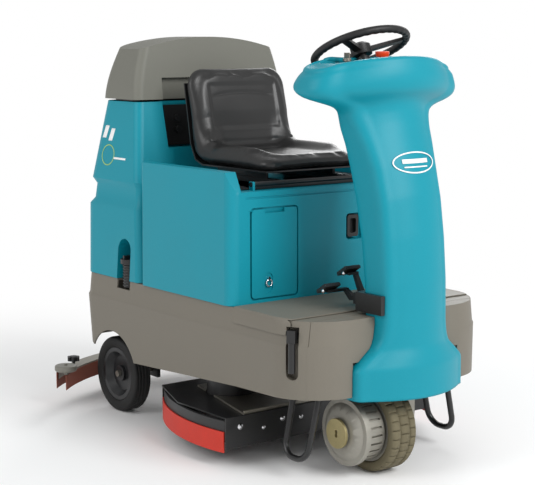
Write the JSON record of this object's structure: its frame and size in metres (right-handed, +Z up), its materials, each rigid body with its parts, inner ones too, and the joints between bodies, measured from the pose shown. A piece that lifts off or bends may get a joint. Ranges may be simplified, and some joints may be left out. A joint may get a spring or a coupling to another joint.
{
  "type": "floor scrubber machine",
  "caption": "Ride-on floor scrubber with steered drive wheel, hinged seat over the batteries, recovery tank with lid, lifting scrub head and rear squeegee.",
  "frame": {"origin": "on the floor under the middle of the machine", "axes": "+Z up, the machine drives towards -Y, the operator's right hand is -X"},
  "size_m": [0.922, 1.5228, 1.2698],
  "materials": {
    "teal_moulding": "fine speckled rotational moulding",
    "grey_moulding": "fine speckled rotational moulding",
    "lid_grey": "satin rotational moulding",
    "black_plastic": "fine grain",
    "black_steel": "black powder coat",
    "bare_steel": "zinc plated",
    "cast_alloy": "cast",
    "chrome_fittings": "polished",
    "brake_zinc": "yellow zinc",
    "grey_tyre": "olive grey rubber",
    "black_tyre": "black rubber",
    "wheel_hub": "satin",
    "red_rubber": "matte",
    "brown_rubber": "matte",
    "black_rubber": "matte",
    "squeegee_metal": "satin",
    "roller_grey": "satin",
    "seat_vinyl": "grained vinyl",
    "bristles": "nylon bristle",
    "battery_case": "satin",
    "red_button": "gloss"
  },
  "bodies": {
    "machine": {"chassis_shell": "grey_moulding", "front_fenders": "grey_moulding", "deck_plate": "grey_moulding", "steel_frame": "black_steel", "rear_axle": "bare_steel", "guard_loops": "black_rubber", "batteries": "battery_case", "seat_box": "teal_moulding", "charge_socket": "black_plastic", "recovery_tank": "teal_moulding", "lid_gasket": "black_rubber", "back_panel": "black_plastic", "drain_hose": "black_rubber", "level_hose": "black_rubber", "front_cover": "teal_moulding", "dash_panel": "black_plastic", "pedal_bracket": "black_steel", "steer_bearing": "bare_steel", "lift_actuator": "black_steel", "vacuum_fan": "black_plastic", "motor_controller": "cast_alloy", "vacuum_hose": "black_rubber"},
    "tank_lid": {"tank_lid": "lid_grey"},
    "drain_cap": {"drain_cap": "black_plastic"},
    "steer_unit": {"drive_yoke": "cast_alloy", "drive_motor": "cast_alloy", "brake_plate": "brake_zinc", "cable_guard": "black_plastic"},
    "drive_wheel": {"drive_tyre": "grey_tyre", "drive_rim": "cast_alloy"},
    "steering_wheel": {"steering_rim": "black_plastic", "steering_hub": "black_plastic"},
    "rear_wheel_right": {"rear_tyre_right": "black_tyre", "rear_hub_right": "wheel_hub"},
    "rear_wheel_left": {"rear_tyre_left": "black_tyre", "rear_hub_left": "wheel_hub"},
    "scrub_head": {"scrub_deck": "black_steel", "deck_top_plate": "bare_steel", "skirt_carriers": "black_plastic", "side_skirts": "red_rubber", "brush_motors": "black_steel", "lift_rod": "bare_steel"},
    "brush_right": {"brush_right": "bristles"},
    "brush_left": {"brush_left": "bristles"},
    "squeegee_arm": {"squeegee_arm": "black_steel"},
    "squeegee": {"squeegee_channel": "squeegee_metal", "squeegee_blades": "brown_rubber", "squeegee_knobs": "black_plastic"},
    "roller_right": {"bumper_roller_right": "roller_grey"},
    "roller_left": {"bumper_roller_left": "roller_grey"},
    "seat_plate": {"seat_plate": "black_steel"},
    "seat": {"seat_pan": "black_steel", "seat_cushion": "seat_vinyl"},
    "prop_rod": {"prop_rod": "bare_steel"},
    "door": {"compartment_door": "teal_moulding"},
    "door_latch": {"door_latch": "chrome_fittings"},
    "brake_pedal": {"brake_pedal": "black_plastic"},
    "propel_pedal": {"propel_pedal": "black_plastic"},
    "stop_button": {"stop_button": "red_button"},
    "key_switch": {"key_switch": "bare_steel"}
  },
  "joints": [
    {"name": "steer_turn", "type": "hinge", "parent": "machine", "child": "steer_unit", "pos_m": [-0.045, -0.5894, 0.3], "axis": [0, 0, 1], "range_deg": [-75, 75]},
    {"name": "drive_wheel_spin", "type": "hinge", "parent": "steer_unit", "child": "drive_wheel", "pos_m": [-0.045, -0.5894, 0.1275], "axis": [1, 0, 0], "continuous": true},
    {"name": "steering_wheel_turn", "type": "hinge", "parent": "machine", "child": "steering_wheel", "pos_m": [0, -0.4544, 1.203], "axis": [0, 0.4067, 0.9135], "range_deg": [-225, 225]},
    {"name": "rear_wheel_right_spin", "type": "hinge", "parent": "machine", "child": "rear_wheel_right", "pos_m": [-0.27, 0.4256, 0.125], "axis": [1, 0, 0], "continuous": true},
    {"name": "rear_wheel_left_spin", "type": "hinge", "parent": "machine", "child": "rear_wheel_left", "pos_m": [0.27, 0.4256, 0.125], "axis": [1, 0, 0], "continuous": true},
    {"name": "scrub_head_lower", "type": "slide", "parent": "machine", "child": "scrub_head", "axis": [0, 0, -1], "range_m": [0, 0.044]},
    {"name": "brush_right_spin", "type": "hinge", "parent": "scrub_head", "child": "brush_right", "pos_m": [-0.19, -0.0764, 0.08], "axis": [0, 0, 1], "continuous": true},
    {"name": "brush_left_spin", "type": "hinge", "parent": "scrub_head", "child": "brush_left", "pos_m": [0.19, -0.0764, 0.08], "axis": [0, 0, 1], "continuous": true},
    {"name": "squeegee_lower", "type": "hinge", "parent": "machine", "child": "squeegee_arm", "pos_m": [0, 0.4406, 0.196], "axis": [-1, 0, 0], "range_deg": [0, 15.8], "deforming": ["vacuum_hose"]},
    {"name": "squeegee_level", "type": "hinge", "parent": "squeegee_arm", "child": "squeegee", "pos_m": [0, 0.6756, 0.176], "axis": [-1, 0, 0], "range_deg": [-15.8, 0]},
    {"name": "roller_right_spin", "type": "hinge", "parent": "squeegee", "child": "roller_right", "pos_m": [-0.424, 0.5416, 0.14], "axis": [0, 0, 1], "continuous": true},
    {"name": "roller_left_spin", "type": "hinge", "parent": "squeegee", "child": "roller_left", "pos_m": [0.424, 0.5416, 0.14], "axis": [0, 0, 1], "continuous": true},
    {"name": "tank_lid_open", "type": "hinge", "parent": "machine", "child": "tank_lid", "pos_m": [0, 0.5286, 1.034], "axis": [-1, 0, 0], "range_deg": [0, 100]},
    {"name": "drain_cap_turn", "type": "hinge", "parent": "machine", "child": "drain_cap", "pos_m": [-0.326, 0.2856, 0.525], "axis": [0, 0, 1], "range_deg": [0, 90]},
    {"name": "seat_lift", "type": "hinge", "parent": "machine", "child": "seat_plate", "pos_m": [0, -0.2764, 0.812], "axis": [1, 0, 0], "range_deg": [0, 50]},
    {"name": "seat_slide", "type": "slide", "parent": "seat_plate", "child": "seat", "axis": [0, 1, 0], "range_m": [-0.06, 0.04]},
    {"name": "prop_rod_lift", "type": "hinge", "parent": "machine", "child": "prop_rod", "pos_m": [0.262, -0.2954, 0.806], "axis": [0, 1, 0], "range_deg": [0, 75]},
    {"name": "door_open", "type": "hinge", "parent": "machine", "child": "door", "pos_m": [-0.199, -0.3069, 0.739], "axis": [-1, 0, 0], "range_deg": [0, 80]},
    {"name": "door_latch_turn", "type": "hinge", "parent": "door", "child": "door_latch", "pos_m": [-0.221, -0.3104, 0.538], "axis": [0, -1, 0], "range_deg": [0, 90]},
    {"name": "brake_pedal_press", "type": "hinge", "parent": "machine", "child": "brake_pedal", "pos_m": [-0.03, -0.5624, 0.5], "axis": [-1, 0, 0], "range_deg": [0, 14], "stiffness_Nm_per_rad": 12, "springref_deg": -8.59},
    {"name": "propel_pedal_press", "type": "hinge", "parent": "machine", "child": "propel_pedal", "pos_m": [-0.074, -0.5624, 0.5], "axis": [-1, 0, 0], "range_deg": [0, 9], "stiffness_Nm_per_rad": 10, "springref_deg": -8.59},
    {"name": "stop_button_press", "type": "slide", "parent": "machine", "child": "stop_button", "axis": [0, 0, -1], "range_m": [0, 0.004]},
    {"name": "key_turn", "type": "hinge", "parent": "machine", "child": "key_switch", "pos_m": [-0.082, -0.4924, 1.16], "axis": [0, 0, -1], "range_deg": [0, 90]}
  ],
  "couplings": [
    {"joint": "steering_wheel_turn", "follows": "steer_turn", "ratio": 3},
    {"joint": "squeegee_level", "follows": "squeegee_lower", "ratio": -1}
  ]
}
